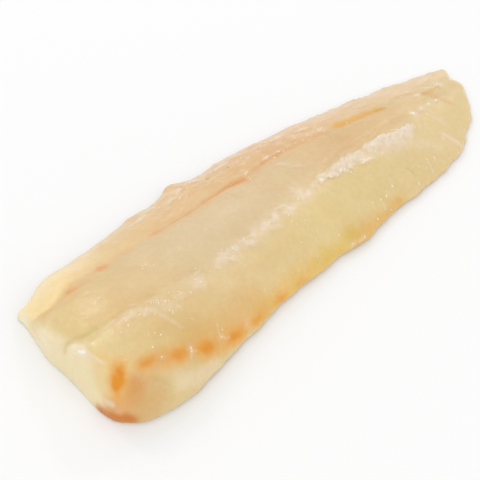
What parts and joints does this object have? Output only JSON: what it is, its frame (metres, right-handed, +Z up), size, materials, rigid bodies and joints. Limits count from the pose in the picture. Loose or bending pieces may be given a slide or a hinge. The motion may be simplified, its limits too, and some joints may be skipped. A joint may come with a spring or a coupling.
{
  "type": "skinless cod fillet",
  "caption": "Raw skinless cod fillet lying boned face up, with a thick slanting cut end, a groove beside the fin strip, faint flake furrows and a thin rounded tail.",
  "frame": {"origin": "under the middle of the fillet's outline, on the surface that it lies on", "axes": "+X from the thick cut end to the tail, +Y towards the fin strip on the far edge, +Z up out of the boned face"},
  "size_m": [0.2902, 0.1014, 0.025],
  "materials": {
    "flesh": "wet, pale cream, slightly translucent"
  },
  "bodies": {
    "root": {"cod_fillet": "flesh"}
  },
  "joints": []
}
